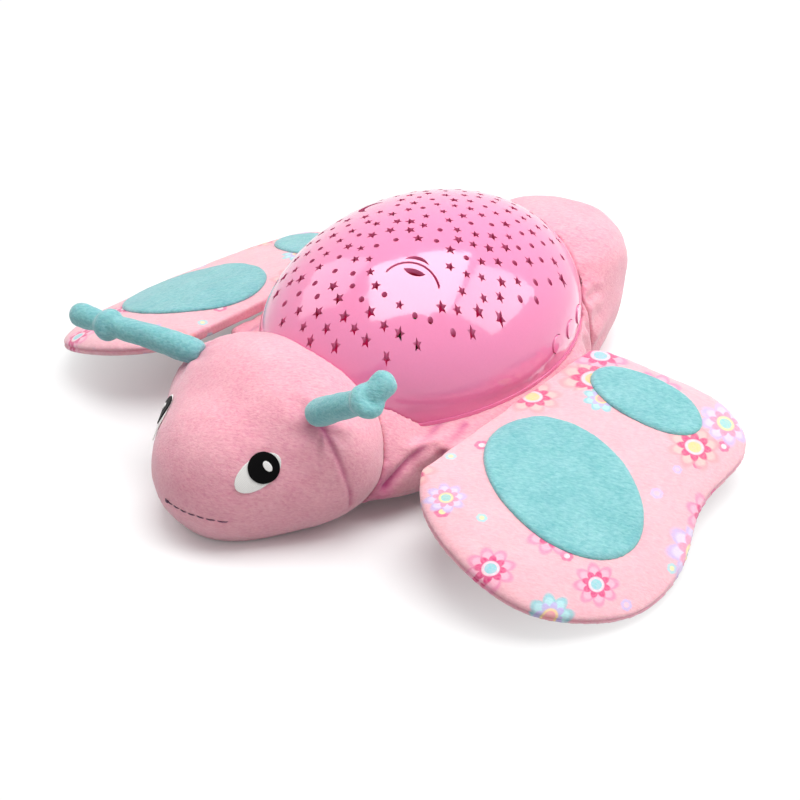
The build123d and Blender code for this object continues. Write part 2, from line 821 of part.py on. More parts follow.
hard_room = [
    dome_form(soft_gap),
    tub_form(soft_gap),
    oval(lip_half[0] + soft_gap, lip_half[1] + soft_gap, rim_z - body_top_gap - 0.1, rim_z + lip_height + soft_gap),
    oval(
        flange_half[0] + soft_gap,
        flange_half[1] + soft_gap,
        rim_z - tub_flange_height - elastic_height - 0.6,
        rim_z,
    ),
]


def wing_seam_x(y):
    share = (y - wing_seam_front[1]) / (wing_seam_rear[1] - wing_seam_front[1])
    return wing_seam_front[0] + (wing_seam_rear[0] - wing_seam_front[0]) * share


def barrel_section(z):
    # the side is round: it leans in below and above its widest line
    drop = z - body_widest_z
    share = math.sqrt(1 - (drop / (body_upper_height if drop > 0 else body_lower_height)) ** 2)
    return Pos(0, body_centre_y, z) * Ellipse(body_half_width * share, body_half_length * share)


body_top_z = rim_z - body_top_gap
barrel = loft([barrel_section(body_top_z * k / 5) for k in range(6)])
neck = above(Pos(*neck_centre) * ellipsoid(*neck_half), body_widest_z - 2.0)
tail = above(Pos(*tail_centre) * Rot(tail_tilt, 0, 0) * ellipsoid(*tail_half), 0.0)
seat_line = [(wing_seam_x(y) + 0.8, y) for y in (seat_front_y, wing_seam_rear[1])]
seat_face = make_face(Polyline((50.0, seat_front_y - 6.0), *seat_line, (44.0, wing_seam_rear[1] + 14.0), close=True))
wing_seat = fillet(extrude(Pos(0, 0, seat_top_z - seat_height) * seat_face, amount=seat_height).edges(), 1.6)
soft_body = barrel + neck + tail + both_sides(wing_seat)
for solid in (*hard_room, head_form(soft_gap)):
    soft_body -= solid
save(between_y(soft_body, -400.0, tail_seam_y).solids().sort_by(SortBy.VOLUME)[-1], "body_plush")
save(between_y(soft_body, tail_seam_y + 0.1, 400.0).solids().sort_by(SortBy.VOLUME)[-1], "tail_plush")

elastic_z = rim_z - tub_flange_height - 0.3 - elastic_height
elastic_half = (flange_half[0] - 0.3, flange_half[1] - 0.3)
elastic = oval(*elastic_half, elastic_z, elastic_z + elastic_height)
elastic -= oval(elastic_half[0] - elastic_width, elastic_half[1] - elastic_width, 0, rim_z)
elastic -= tub_form(0.05)
save(elastic, "hem_elastic")

# ---- head ---------------------------------------------------------------------
head = above(head_form(), 0.0)
for solid in hard_room:
    head -= solid
save(head.solids().sort_by(SortBy.VOLUME)[-1], "head_plush")


def stitched(level, half_x, half_y, shift):
    # an embroidered patch that follows the head, one layer on the other
    low = stitch_lift + level * (stitch_height + stitch_lift)
    skin = head_form(low + stitch_height) - head_form(low)
    frame = Plane(origin=eye_place, x_dir=(0.6, 0.8, 0), z_dir=eye_facing)
    prism = frame * Rot(0, 0, eye_turn) * Pos(*shift, -7.0) * extrude(Ellipse(half_x, half_y), amount=16.0)
    return skin & prism


for node, patch in (
    ("eye_white", stitched(0, *eye_half, (0, 0))),
    ("eye_pupil", stitched(1, pupil_radius, pupil_radius, pupil_shift)),
    ("eye_glint", stitched(2, *glint_half, glint_shift)),
):
    for side, shape in zip(("left", "right"), both_sides(patch)):
        save(shape, f"{side}_{node}")

# ---- wings --------------------------------------------------------------------
wing_mid_x = (wing_root_x + wing_tip_x) / 2
wing_reach = 130.0


def wing_slab(low, high):
    # a bent sheet between two arcs, given by their heights at root, middle and tip
    top = ThreePointArc((wing_root_x, high[0]), (wing_mid_x, high[1]), (wing_tip_x, high[2]))
    bottom = ThreePointArc((wing_root_x, low[0]), (wing_mid_x, low[1]), (wing_tip_x, low[2]))
    ends = [
        Line((wing_root_x, low[0]), (wing_root_x, high[0])),
        Line((wing_tip_x, low[2]), (wing_tip_x, high[2])),
    ]
    face = make_face([top, bottom, *ends])
    across = Plane(origin=(0, wing_reach, 0), x_dir=(1, 0, 0), z_dir=(0, -1, 0))
    return extrude(across * face, amount=2 * wing_reach)


def prism_up(face):
    return extrude(Pos(0, 0, -20) * face, amount=120)


top_heights = (wing_top_root_z, wing_top_mid_z, wing_top_tip_z)
bottom_heights = (wing_bottom_root_z, wing_bottom_mid_z, wing_bottom_tip_z)
rim_line = Spline(wing_seam_front, *wing_outline, wing_seam_rear)
wing_face = make_face([rim_line, Line(wing_seam_rear, wing_seam_front)])
wing = wing_slab(bottom_heights, top_heights) & prism_up(wing_face)
wing = above(wing, 0.0)
for side, shape in zip(("left", "right"), both_sides(wing)):
    save(shape, f"{side}_wing")

patch_low = [z + patch_lift for z in top_heights]
patch_high = [z + patch_lift + patch_thickness for z in top_heights]
patch_slab = wing_slab(patch_low, patch_high)
for size, place, half, turn in (
    ("large", large_patch_place, large_patch_half, large_patch_turn),
    ("small", small_patch_place, small_patch_half, small_patch_turn),
):
    patch = patch_slab & prism_up(Pos(*place) * Rot(0, 0, turn) * Ellipse(*half))
    for side, shape in zip(("left", "right"), both_sides(patch)):
        save(shape, f"{side}_{size}_patch")

# ---- feelers ------------------------------------------------------------------


def toward(start, end):
    way = Vector(*end) - Vector(*start)
    return Plane(origin=start, z_dir=way), way.length


def limb(start, end, start_radius, end_radius):
    # a stuffed tube with round ends that tapers along its length
    frame, length = toward(start, end)
    side = math.sqrt(0.5)
    outline = [
        ThreePointArc((0, -start_radius), (side * start_radius, -side * start_radius), (start_radius, 0)),
        Line((start_radius, 0), (end_radius, length)),
        ThreePointArc((end_radius, length), (side * end_radius, length + side * end_radius), (0, length + end_radius)),
        Line((0, length + end_radius), (0, -start_radius)),
    ]
    upright = Plane(origin=(0, 0, 0), x_dir=(1, 0, 0), z_dir=(0, -1, 0))
    return frame * revolve(upright * make_face(outline), axis=Axis.Z)


def feeler(base, knot, tip):
    shape = limb(base, knot, feeler_base_radius, feeler_tube_radius)
    shape += limb(knot, tip, feeler_tube_radius - 0.3, feeler_tip_radius)
    return shape + Pos(*knot) * Rot(50, 10, 30) * Sphere(feeler_knot_radius)


save(feeler(*left_feeler), "left_feeler")
save(feeler(*right_feeler), "right_feeler")

# ---- housing screws -----------------------------------------------------------
save(
    [
        screw(x, y, well_top_z, rim_z + dome_boss_height - 4.0 - well_top_z, screw_shank, screw_head, screw_head_height)
        for x, y in boss_places()
    ],
    "housing_screws",
)
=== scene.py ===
import math

import bpy
import numpy as np
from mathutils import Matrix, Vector, noise
from mathutils.bvhtree import BVHTree
from mathutils.kdtree import KDTree


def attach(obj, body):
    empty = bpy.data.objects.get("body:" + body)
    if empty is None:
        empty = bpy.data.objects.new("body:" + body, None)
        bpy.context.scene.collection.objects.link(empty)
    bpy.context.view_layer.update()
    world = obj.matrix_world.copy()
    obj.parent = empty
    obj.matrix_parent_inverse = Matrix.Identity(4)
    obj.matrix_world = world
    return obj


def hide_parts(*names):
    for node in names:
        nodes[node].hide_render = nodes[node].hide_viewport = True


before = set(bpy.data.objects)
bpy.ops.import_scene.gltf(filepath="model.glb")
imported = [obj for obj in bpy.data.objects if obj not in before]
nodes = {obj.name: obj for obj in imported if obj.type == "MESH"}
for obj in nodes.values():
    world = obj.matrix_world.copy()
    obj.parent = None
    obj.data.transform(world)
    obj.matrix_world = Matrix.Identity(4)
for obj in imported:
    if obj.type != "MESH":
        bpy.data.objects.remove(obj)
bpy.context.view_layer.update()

scene = bpy.context.scene
mm = 0.001


# small helpers

def linear(code):
    # sRGB hex to the linear colour that shaders take
    parts = [int(code[i:i + 2], 16) / 255 for i in (0, 2, 4)]
    return tuple(c / 12.92 if c <= 0.04045 else ((c + 0.055) / 1.055) ** 2.4 for c in parts) + (1.0,)


def addNode(tree, kind, settings={}, inputs={}):
    node = tree.nodes.new(kind)
    for key, value in settings.items():
        setattr(node, key, value)
    for key, value in inputs.items():
        if isinstance(value, bpy.types.NodeSocket):
            tree.links.new(value, node.inputs[key])
        else:
            node.inputs[key].default_value = value
    return node


def startMaterial(name, sockets):
    material = bpy.data.materials.new(name)
    material.use_nodes = True
    tree = material.node_tree
    shader = tree.nodes["Principled BSDF"]
    for key, value in sockets.items():
        shader.inputs[key].default_value = value
    return material, tree, shader


def dress(piece, material):
    piece.data.materials.clear()
    piece.data.materials.append(material)


def addPiece(name, verts, faces):
    mesh = bpy.data.meshes.new(name)
    mesh.from_pydata([tuple(v) for v in verts], [], faces)
    mesh.validate()
    piece = bpy.data.objects.new(name, mesh)
    scene.collection.objects.link(piece)
    mesh.shade_smooth()
    return piece


def clothMesh(piece, voxel, smoothing):
    # one even, closed mesh round all that the piece holds; voxel in mm
    remesh = piece.modifiers.new("remesh", "REMESH")
    remesh.mode = "VOXEL"
    remesh.voxel_size = voxel * mm
    relax = piece.modifiers.new("relax", "SMOOTH")
    relax.factor = 0.5
    relax.iterations = smoothing
    graph = bpy.context.evaluated_depsgraph_get()
    mesh = bpy.data.meshes.new_from_object(piece.evaluated_get(graph))
    piece.modifiers.clear()
    piece.data = mesh
    mesh.name = piece.name
    mesh.shade_smooth()


def softCopy(node, name, voxel, smoothing):
    # the node's solid as cloth
    piece = bpy.data.objects.new(name, nodes[node].data.copy())
    scene.collection.objects.link(piece)
    clothMesh(piece, voxel, smoothing)
    return piece


def corners(piece):
    # the mesh's points in mm, and their normals
    co = np.zeros(len(piece.data.vertices) * 3)
    piece.data.vertices.foreach_get("co", co)
    normals = np.zeros(len(piece.data.vertices) * 3)
    piece.data.vertices.foreach_get("normal", normals)
    return co.reshape(-1, 3) / mm, normals.reshape(-1, 3)


def setCorners(piece, co):
    # cloth lies on the floor and goes no lower
    co[:, 2] = np.maximum(co[:, 2], 0.0)
    piece.data.vertices.foreach_set("co", (co * mm).ravel())
    piece.data.update()


def markPaintedShade(piece, amount):
    # 1 where painted shade darkens a fold, crease or seam
    marks = piece.data.attributes.new("paintedShade", "FLOAT", "POINT")
    marks.data.foreach_set("value", np.clip(amount, 0, 1))


def pathDistance(points, path):
    # distance in mm from each point to a line through path
    best = np.full(len(points), np.inf)
    for a, b in zip(path[:-1], path[1:]):
        a = np.array(a, float)
        along = np.array(b, float) - a
        share = np.clip(((points - a) @ along) / (along @ along), 0, 1)
        best = np.minimum(best, np.linalg.norm(points - a - share[:, None] * along, axis=1))
    return best


def bothSides(co):
    # the right half folded onto the left, for paths given on the left
    return np.column_stack((np.abs(co[:, 0]), co[:, 1], co[:, 2]))


def bump(value, width):
    return np.exp(-(value / width) ** 2)


def smoothStep(value, low, high):
    t = np.clip((value - low) / (high - low), 0, 1)
    return t * t * (3 - 2 * t)


clothSpec = {
    "seedShift": (7.1, 3.3, 5.7),  # how far one seed's noise lies from the next one's
    "resting": (0.2, 3.0),         # heights in mm between which cloth comes free of the floor
}


def unevenness(points, size, seed):
    # smooth noise, about -1 to 1, with lumps of this size in mm
    shift = Vector([seed * part for part in clothSpec["seedShift"]])
    return np.array([noise.noise(Vector(p) / size + shift) for p in points])


def lumps(points, rows):
    # each row has the lumps' size and height in mm, and a seed
    return sum(unevenness(points, size, seed) * height for size, height, seed in rows)


def offFloor(co):
    return smoothStep(co[:, 2], *clothSpec["resting"])


# camera and room

view = {
    "place": (0.48148, -0.52527, 0.47537),
    "back": (0.570, -0.605, 0.556),  # from what it looks at towards itself
    "lens": 86.53,
    "sensor": 36,
    "near": 0.01,
}
camera = bpy.data.objects.new("camera", bpy.data.cameras.new("camera"))
scene.collection.objects.link(camera)
camera.location = view["place"]
camera.rotation_euler = Vector(view["back"]).to_track_quat("Z", "Y").to_euler()
camera.data.lens = view["lens"]
camera.data.sensor_width = view["sensor"]
camera.data.clip_start = view["near"]
scene.camera = camera
scene.view_settings.view_transform = "Standard"

room = {
    "floorSize": 6.0,
    "floorDrop": 0.0004,    # the floor and the rest face don't share a plane
    "floorRough": 0.75,
    "floorGrey": "c6c6c6",  # what the object is lit by
    "floorSeen": "ffffff",  # what the camera sees
    # share of plain white that a camera ray sees in the floor, near the object and further out,
    # with the distances in metres; across the wings it brightens sooner
    "glow": {"near": 0.04, "far": 0.92, "from": 0.12, "to": 0.30, "across": 1.6},
    "worldLight": 0.37,
    "lamps": (
        # name, place, size, watts
        ("overhead", (0.14, 0.16, 1.40), 1.2, 20.0),
        ("rearRight", (0.90, 0.80, 0.90), 1.0, 8.5),
        ("left", (-0.90, -0.20, 0.95), 0.8, 3.0),
    ),
}


def seenDirectly(tree, share):
    # share for rays from the camera, and for what metal and clear parts show
    ray = addNode(tree, "ShaderNodeLightPath")
    some = addNode(tree, "ShaderNodeMath", {"operation": "MAXIMUM"}, {
        0: ray.outputs["Is Camera Ray"], 1: ray.outputs["Is Glossy Ray"]})
    either = addNode(tree, "ShaderNodeMath", {"operation": "MAXIMUM"}, {
        0: some.outputs[0], 1: ray.outputs["Is Transmission Ray"]})
    seen = addNode(tree, "ShaderNodeMath", {"operation": "MULTIPLY"}, {0: either.outputs[0], 1: share})
    return seen.outputs[0]


def makeWorld():
    world = bpy.data.worlds.new("room")
    scene.world = world
    world.use_nodes = True
    tree = world.node_tree
    light = tree.nodes["Background"]
    light.inputs["Color"].default_value = (1, 1, 1, 1)
    light.inputs["Strength"].default_value = room["worldLight"]
    white = addNode(tree, "ShaderNodeBackground", inputs={"Color": (1, 1, 1, 1), "Strength": 1.0})
    mix = addNode(tree, "ShaderNodeMixShader", inputs={
        0: seenDirectly(tree, 1.0), 1: light.outputs[0], 2: white.outputs[0]})
    tree.links.new(mix.outputs[0], tree.nodes["World Output"].inputs["Surface"])


def makeFloor():
    half = room["floorSize"] / 2
    z = -room["floorDrop"]
    edges = [(-half, -half, z), (half, -half, z), (half, half, z), (-half, half, z)]
    floor = addPiece("floor", edges, [(0, 1, 2, 3)])
    # matt emulsion paint: no shine, and a soft shadow under the object
    material, tree, shader = startMaterial("paintedFloor", {"Roughness": room["floorRough"]})
    paint = addNode(tree, "ShaderNodeMix", {"data_type": "RGBA"}, {
        0: seenDirectly(tree, 1.0), 6: linear(room["floorGrey"]), 7: linear(room["floorSeen"])})
    tree.links.new(paint.outputs[2], shader.inputs["Base Color"])
    glow = room["glow"]
    wide = addNode(tree, "ShaderNodeMapping", inputs={
        "Vector": addNode(tree, "ShaderNodeTexCoord").outputs["Object"],
        "Scale": (glow["across"], 1.0, 1.0)})
    away = addNode(tree, "ShaderNodeVectorMath", {"operation": "LENGTH"}, {0: wide.outputs[0]})
    share = addNode(tree, "ShaderNodeMapRange", inputs={
        "Value": away.outputs["Value"], "From Min": glow["from"], "From Max": glow["to"],
        "To Min": glow["near"], "To Max": glow["far"]})
    white = addNode(tree, "ShaderNodeEmission", inputs={"Color": (1, 1, 1, 1), "Strength": 1.0})
    lifted = addNode(tree, "ShaderNodeMixShader", inputs={
        0: seenDirectly(tree, share.outputs[0]), 1: shader.outputs[0], 2: white.outputs[0]})
    tree.links.new(lifted.outputs[0], tree.nodes["Material Output"].inputs["Surface"])
    dress(floor, material)


makeWorld()
makeFloor()
for name, place, size, watts in room["lamps"]:
    data = bpy.data.lights.new(name, "AREA")
    data.shape = "SQUARE"
    data.size = size
    data.energy = watts
    lamp = bpy.data.objects.new(name, data)
    scene.collection.objects.link(lamp)
    lamp.location = place
    lamp.rotation_euler = Vector(place).to_track_quat("Z", "Y").to_euler()
print("room and camera ready")


# plush

plushSpec = {
    # matt, with a soft light rim, and a little light goes through the pile
    "shader": {
        "Roughness": 0.95,
        "Sheen Weight": 0.42,
        "Sheen Roughness": 0.5,
        "Sheen Tint": linear("ffffff"),
        "Specular IOR Level": 0.15,
        "Subsurface Weight": 0.22,
        "Subsurface Radius": (1.0, 0.25, 0.5),
        "Subsurface Scale": 6 * mm,
    },
    "combed": {"Rotation": (0.0, 0.25, 0.75), "Scale": (2.6, 1.0, 1.0)},  # the fibres' lie
    "fibres": {"Detail": 4.0, "Roughness": 0.65, "Distortion": 0.4},
    "nap": 14.0,              # size in mm of the patches that a hand leaves in the pile
    "napShare": 0.25,
    "shades": (0.36, 0.86),   # where in the pattern the deep and the lit colour stand
    "relief": 0.8,
}


def plush(name, lit, deep, paintedShade, pile, depth, printOn=None):
    # short-pile polyester: combed fibres and a faintly uneven nap, with painted shade that deepens the
    # colour in folds and seams; pile and depth are a tuft's width and height in mm, and real tufts
    # of about 0.3 mm are too fine to show, so they are drawn coarser
    material, tree, shader = startMaterial(name, plushSpec["shader"])
    point = addNode(tree, "ShaderNodeTexCoord").outputs["Object"]
    combed = addNode(tree, "ShaderNodeMapping", {"vector_type": "TEXTURE"}, {
        "Vector": point, **plushSpec["combed"]})
    fibres = addNode(tree, "ShaderNodeTexNoise", inputs={
        "Vector": combed.outputs[0], "Scale": 1 / (pile * mm), **plushSpec["fibres"]})
    brushed = addNode(tree, "ShaderNodeTexNoise", inputs={
        "Vector": point, "Scale": 1 / (plushSpec["nap"] * mm), "Detail": 1.0, "Roughness": 0.5})
    both = addNode(tree, "ShaderNodeMath", {"operation": "MULTIPLY_ADD"}, {
        0: brushed.outputs["Fac"], 1: plushSpec["napShare"], 2: fibres.outputs["Fac"]})
    shade = addNode(tree, "ShaderNodeMapRange", inputs={
        "Value": both.outputs[0], "From Min": plushSpec["shades"][0], "From Max": plushSpec["shades"][1]})
    combedColour = addNode(tree, "ShaderNodeMix", {"data_type": "RGBA"}, {
        0: shade.outputs["Result"], 6: linear(deep), 7: linear(lit)})
    # painted shade: the colour deepens where folds, creases and seams are marked
    shadeMask = addNode(tree, "ShaderNodeAttribute", {"attribute_name": "paintedShade"})
    mixed = addNode(tree, "ShaderNodeMix", {"data_type": "RGBA"}, {
        0: shadeMask.outputs["Fac"], 6: combedColour.outputs[2], 7: linear(paintedShade)})
    colour = mixed.outputs[2]
    if printOn:
        colour = printOn(tree, point, colour)
    tree.links.new(colour, shader.inputs["Base Color"])
    relief = addNode(tree, "ShaderNodeBump", inputs={
        "Strength": plushSpec["relief"], "Distance": depth * mm, "Height": fibres.outputs["Fac"]})
    tree.links.new(relief.outputs[0], shader.inputs["Normal"])
    return material


printSpec = {
    "wrap": -0.6,           # height counts as length outwards, so the print carries on down the rim
    "edge": (0.90, 1.05),   # a petal's colour fades between these shares of its reach
    "wear": 1.1,            # size in mm of the spots where the pile hides the ink
    "wearFrom": (0.3, 0.7),
    "wearTo": (0.70, 1.0),
    "kinds": (
        # cells and radii in mm; each layer has its share of the radius, petals, half turns, dent
        # between petals, and a colour for each sort of blossom
        {
            "cell": 33.0, "loose": 0.75, "radius": (8.0, 16.5), "keep": 1.0,
            "layers": (
                (1.00, 8, 0, 0.30, ("e78fb0", "8ccbd2", "c7b5de", "f0a3a9")),
                (0.80, 8, 0, 0.30, ("f3b7c8", "b9dfe2", "dccfea", "f5c3bd")),
                (0.62, 8, 1, 0.34, ("d8497f", "c3aede", "eb94ad", "d8497f")),
                (0.34, 8, 0, 0.00, ("f7dbe2", "f6d58f", "f8e3a6", "f7dbe2")),
                (0.24, 8, 0, 0.00, ("8ccbd2", "ef9fae", "93cdd0", "f3cf8a")),
            ),
        },
        {
            "cell": 17.0, "loose": 0.8, "radius": (2.4, 5.0), "keep": 0.36,
            "layers": (
                (1.00, 6, 0, 0.12, ("dd6f98", "a9d6da", "cdbbe2", "dd6f98")),
                (0.45, 6, 0, 0.00, ("f8dfe3", "f6e0a6", "f3c3ca", "f6e0a6")),
            ),
        },
    ),
}


def scatter(tree, cloth, kind):
    # one blossom place in each cell: distance in mm from its middle, turn, and random numbers
    flat = addNode(tree, "ShaderNodeVectorMath", {"operation": "SCALE"}, {
        0: cloth, "Scale": 1 / (kind["cell"] * mm)})
    grid = addNode(tree, "ShaderNodeTexVoronoi", {"voronoi_dimensions": "2D"}, {
        "Vector": flat.outputs[0], "Scale": 1.0, "Randomness": kind["loose"]})
    away = addNode(tree, "ShaderNodeVectorMath", {"operation": "SUBTRACT"}, {
        0: flat.outputs[0], 1: grid.outputs["Position"]})
    length = addNode(tree, "ShaderNodeVectorMath", {"operation": "LENGTH"}, {0: away.outputs[0]})
    radius = addNode(tree, "ShaderNodeMath", {"operation": "MULTIPLY"}, {
        0: length.outputs["Value"], 1: kind["cell"]})
    split = addNode(tree, "ShaderNodeSeparateXYZ", inputs={0: away.outputs[0]})
    angle = addNode(tree, "ShaderNodeMath", {"operation": "ARCTAN2"}, {
        0: split.outputs[1], 1: split.outputs[0]})
    dice = addNode(tree, "ShaderNodeSeparateColor", inputs={0: grid.outputs["Color"]})
    turned = addNode(tree, "ShaderNodeMath", {"operation": "MULTIPLY_ADD"}, {
        0: dice.outputs[2], 1: 2 * math.pi, 2: angle.outputs[0]})
    return radius.outputs[0], turned.outputs[0], dice.outputs


def printBlossoms(tree, cloth, below, worn, kind):
    # layers of petals over each other, each with its own colour for each sort of blossom
    radius, turned, dice = scatter(tree, cloth, kind)
    size = addNode(tree, "ShaderNodeMapRange", inputs={
        "Value": dice[0], "To Min": kind["radius"][0], "To Max": kind["radius"][1]})
    kept = addNode(tree, "ShaderNodeMath", {"operation": "LESS_THAN"}, {0: dice[0], 1: kind["keep"]})
    cover = addNode(tree, "ShaderNodeMath", {"operation": "MULTIPLY"}, {0: kept.outputs[0], 1: worn})
    share = addNode(tree, "ShaderNodeMath", {"operation": "DIVIDE"}, {0: radius, 1: size.outputs[0]})
    for reach, petals, halfTurns, dent, colours in kind["layers"]:
        wave = addNode(tree, "ShaderNodeMath", {"operation": "MULTIPLY_ADD"}, {
            0: turned, 1: petals / 2, 2: halfTurns * math.pi / 2})
        side = addNode(tree, "ShaderNodeMath", {"operation": "COSINE"}, {0: wave.outputs[0]})
        lobe = addNode(tree, "ShaderNodeMath", {"operation": "ABSOLUTE"}, {0: side.outputs[0]})
        edge = addNode(tree, "ShaderNodeMapRange", inputs={
            "Value": lobe.outputs[0], "To Min": reach * (1 - dent), "To Max": reach})
        inside = addNode(tree, "ShaderNodeMath", {"operation": "DIVIDE"}, {
            0: share.outputs[0], 1: edge.outputs[0]})
        soft = addNode(tree, "ShaderNodeMapRange", inputs={
            "Value": inside.outputs[0], "From Min": printSpec["edge"][0],
            "From Max": printSpec["edge"][1], "To Min": 1.0, "To Max": 0.0})
        shown = addNode(tree, "ShaderNodeMath", {"operation": "MULTIPLY"}, {
            0: soft.outputs[0], 1: cover.outputs[0]})
        ramp = addNode(tree, "ShaderNodeValToRGB", inputs={0: dice[1]})
        stops = ramp.color_ramp
        stops.interpolation = "CONSTANT"
        for k in range(1, len(colours) - 1):
            stops.elements.new(k / len(colours))
        stops.elements[len(colours) - 1].position = 1 - 1 / len(colours)
        for stop, code in zip(stops.elements, colours):
            stop.color = linear(code)
        mixed = addNode(tree, "ShaderNodeMix", {"data_type": "RGBA"}, {
            0: shown.outputs[0], 6: below, 7: ramp.outputs[0]})
        below = mixed.outputs[2]
    return below


def flowerPrint(tree, point, ground):
    # blossoms scattered at random on the plush, worn soft by the pile
    along = addNode(tree, "ShaderNodeSeparateXYZ", inputs={0: point})
    outwards = addNode(tree, "ShaderNodeMath", {"operation": "ABSOLUTE"}, {0: along.outputs[0]})
    wrapped = addNode(tree, "ShaderNodeMath", {"operation": "MULTIPLY_ADD"}, {
        0: along.outputs[2], 1: printSpec["wrap"], 2: outwards.outputs[0]})
    cloth = addNode(tree, "ShaderNodeCombineXYZ", inputs={0: wrapped.outputs[0], 1: along.outputs[1]})
    spots = addNode(tree, "ShaderNodeTexNoise", inputs={
        "Vector": point, "Scale": 1 / (printSpec["wear"] * mm), "Detail": 2.0})
    worn = addNode(tree, "ShaderNodeMapRange", inputs={
        "Value": spots.outputs["Fac"],
        "From Min": printSpec["wearFrom"][0], "From Max": printSpec["wearFrom"][1],
        "To Min": printSpec["wearTo"][0], "To Max": printSpec["wearTo"][1]})
    colour = ground
    for kind in reversed(printSpec["kinds"]):
        colour = printBlossoms(tree, cloth.outputs[0], colour, worn.outputs[0], kind)
    return colour


# velboa, knitted polyester with a sheared pile: pale where it faces the light, rosy between tufts
pinkPlush = plush("pinkVelboaPlush", lit="f4b9c2", deep="de8ca2", paintedShade="c4568a", pile=0.8, depth=0.35)
# the same in teal with a longer pile, so that its tufts show more
tealPlush = plush("tealVelboaPlush", lit="93c9cb", deep="5aa5ab", paintedShade="3f8f97", pile=0.9, depth=0.5)
# the same, transfer-printed: the ink sits on the tufts' ends and looks a little worn
printedPlush = plush("printedVelboaPlush", lit="f2bfc6", deep="e4a6b2", paintedShade="c76d93", pile=0.9,
                     depth=0.35, printOn=flowerPrint)
# woven elastic band: matt, with a fine ribbed face
elasticWeb = plush("wovenElasticWeb", lit="f3d2de", deep="e6b5c6", paintedShade="e6b5c6", pile=0.5, depth=0.3)


# plastics, metals and threads

def followPattern(tree, shader, pattern, colour, shades, relief, depth):
    # the colour gets lighter and darker with the pattern, and the surface rises by depth in mm
    tint = addNode(tree, "ShaderNodeMapRange", inputs={
        "Value": pattern, "To Min": shades[0], "To Max": shades[1]})
    shade = addNode(tree, "ShaderNodeVectorMath", {"operation": "SCALE"}, {
        0: linear(colour)[:3], "Scale": tint.outputs["Result"]})
    tree.links.new(shade.outputs[0], shader.inputs["Base Color"])
    rise = addNode(tree, "ShaderNodeBump", inputs={
        "Strength": relief, "Distance": depth * mm, "Height": pattern})
    tree.links.new(rise.outputs[0], shader.inputs["Normal"])


mouldedSpec = {
    "ior": 1.53,
    "radius": (0.004, 0.0015, 0.002),  # light goes further in red
    "shades": (0.97, 1.03),
    "relief": 0.3,
}


def moulded(name, colour, rough, grain=0.8, depth=0.02, coat=0.0, glow=0.0):
    # moulded plastic: an even colour with a slight unevenness from the mould; grain in mm
    material, tree, shader = startMaterial(name, {
        "Roughness": rough, "IOR": mouldedSpec["ior"], "Coat Weight": coat,
        "Subsurface Weight": glow, "Subsurface Radius": mouldedSpec["radius"]})
    mould = addNode(tree, "ShaderNodeTexNoise", inputs={
        "Vector": addNode(tree, "ShaderNodeTexCoord").outputs["Object"],
        "Scale": 1 / (grain * mm), "Detail": 2.0})
    followPattern(tree, shader, mould.outputs["Fac"], colour, mouldedSpec["shades"],
                  mouldedSpec["relief"], depth)
    return material


# tinted polystyrene from a polished mould: glossy, and it lets a little light through
glossyPink = moulded("glossyPinkPolystyrene", "e881ae", rough=0.14, coat=0.8, glow=0.18)
# ABS from a finely etched mould: a broad, soft shine
satinPink = moulded("satinPinkAbs", "e98fb4", rough=0.42)
whiteAbs = moulded("satinWhiteAbs", "ececea", rough=0.45)
deepPink = moulded("satinDeepPinkAbs", "c22a66", rough=0.42)
# cast epoxy on the chips and switches: dull black
blackResin = moulded("blackEpoxyResin", "141414", rough=0.5)
# pressed paper, stiffened with resin: black, matt and fibrous
speakerPaper = moulded("treatedSpeakerPaper", "1c1b1b", rough=0.8, grain=1.5, depth=0.1)
# glass cloth in resin under a green lacquer: fairly smooth, with the weave's faint unevenness
boardGreen = moulded("greenFibreglassBoard", "1f6b3c", rough=0.35, grain=1.2)
# tinted epoxy, cast in a polished mould: smooth, with small sharp highlights
redLens = moulded("redEpoxyLens", "d92222", rough=0.15)
greenLens = moulded("greenEpoxyLens", "27b548", rough=0.15)
blueLens = moulded("blueEpoxyLens", "2a48d8", rough=0.15)

# the deck under the dome glows a little, for the light that the tinted shell lets through
deckGlow = {"Emission Color": linear("c01050"), "Emission Strength": 0.45}
for socket, value in deckGlow.items():
    deepPink.node_tree.nodes["Principled BSDF"].inputs[socket].default_value = value

metalSpec = {
    "grain": 0.4,           # rolling marks in mm, drawn coarser than the real 0.05 so that they show
    "shades": (0.88, 1.08),
    "relief": 0.2,
    "depth": 0.02,
}


def metal(name, colour, rough):
    # plated or lacquered steel: a bright but blurred reflection, with fine rolling marks
    material, tree, shader = startMaterial(name, {"Metallic": 1.0, "Roughness": rough})
    marks = addNode(tree, "ShaderNodeTexNoise", inputs={
        "Vector": addNode(tree, "ShaderNodeTexCoord").outputs["Object"],
        "Scale": 1 / (metalSpec["grain"] * mm), "Detail": 3.0})
    followPattern(tree, shader, marks.outputs["Fac"], colour, metalSpec["shades"],
                  metalSpec["relief"], metalSpec["depth"])
    return material


zincSteel = metal("zincPlatedSteel", "b9b9bb", rough=0.32)        # greyish, from the plating bath
nickelStrip = metal("nickelPlatedStrip", "c9c5bb", rough=0.25)    # warmer and brighter
blackSteel = metal("blackLacqueredSteel", "3a3a3c", rough=0.4)    # dark, with a dull sheen
cellJacket = metal("lacqueredCellJacket", "5a6570", rough=0.35)   # blue-grey foil under lacquer

threadSpec = {
    "wavelength": 0.35,     # a diagonal wave of scale 1 repeats after about this many metres
    "waves": {"Distortion": 1.5, "Detail": 1.0},
    "rough": 0.5,
    "shades": (0.80, 1.0),
    "relief": 0.6,
    "depth": 0.1,
}


